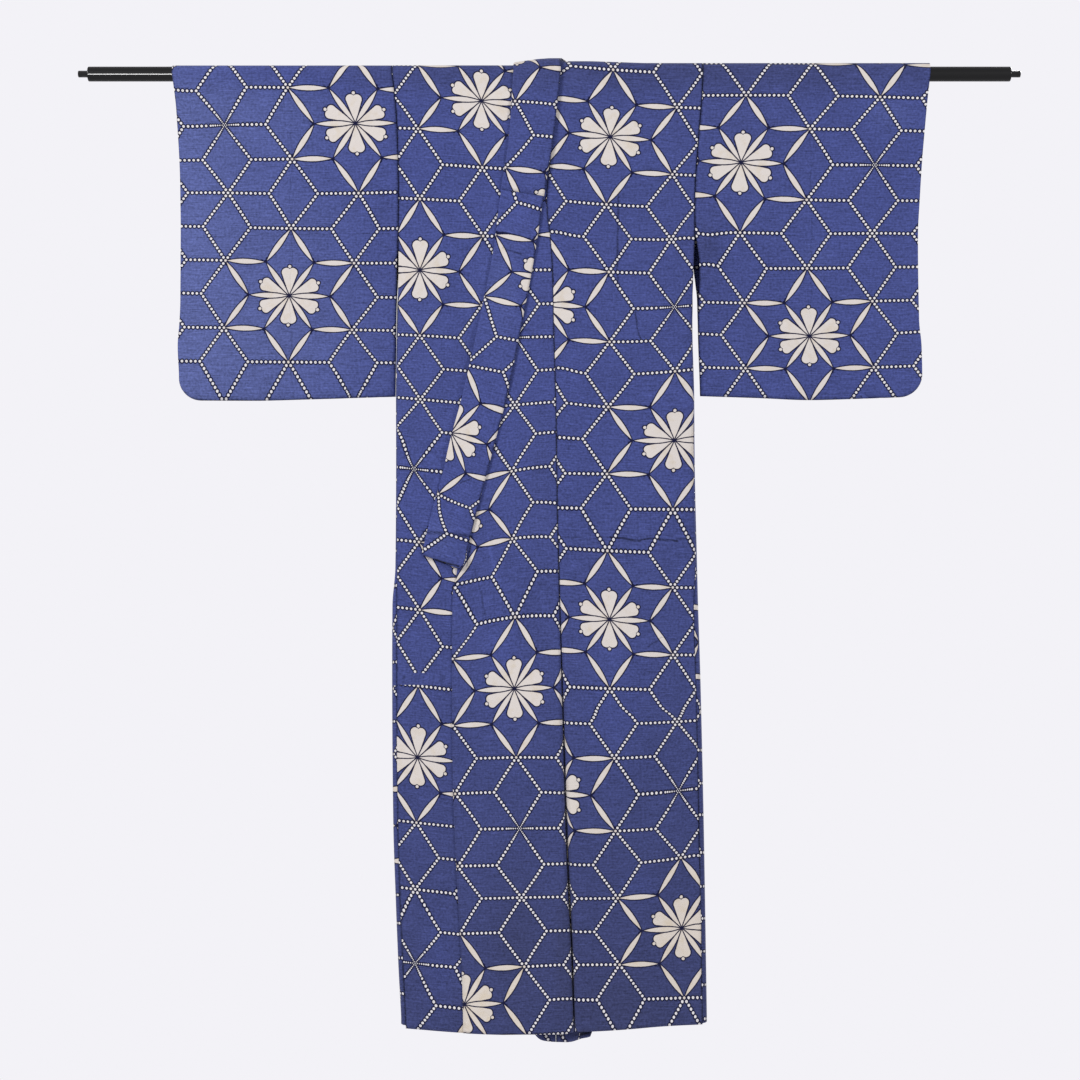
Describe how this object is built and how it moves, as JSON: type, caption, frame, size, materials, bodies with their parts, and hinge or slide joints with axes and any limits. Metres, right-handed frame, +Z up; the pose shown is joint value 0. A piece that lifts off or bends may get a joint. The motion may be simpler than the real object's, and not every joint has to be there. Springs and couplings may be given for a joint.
{
  "type": "summer kimono on a hanging rod",
  "caption": "Unlined summer kimono with square hanging sleeves, worn closed left over right, hung flat on a round rod that runs through both sleeves.",
  "frame": {"origin": "on the rod's axis, halfway along the rod", "axes": "+Z up, -Y the front of the garment, +X the wearer's left"},
  "size_m": [1.4176, 0.0626, 1.4766],
  "materials": {
    "cotton": "matt plain-weave indigo cotton with faint slubs and an ivory dotted rhombus and blossom print",
    "rod": "satin black lacquer"
  },
  "bodies": {
    "root": {"body_left": "cotton", "body_right": "cotton", "okumi_left": "cotton", "okumi_right": "cotton", "sleeve_left": "cotton", "sleeve_right": "cotton", "collar": "cotton", "over_collar": "cotton", "rod": "rod"}
  },
  "joints": []
}
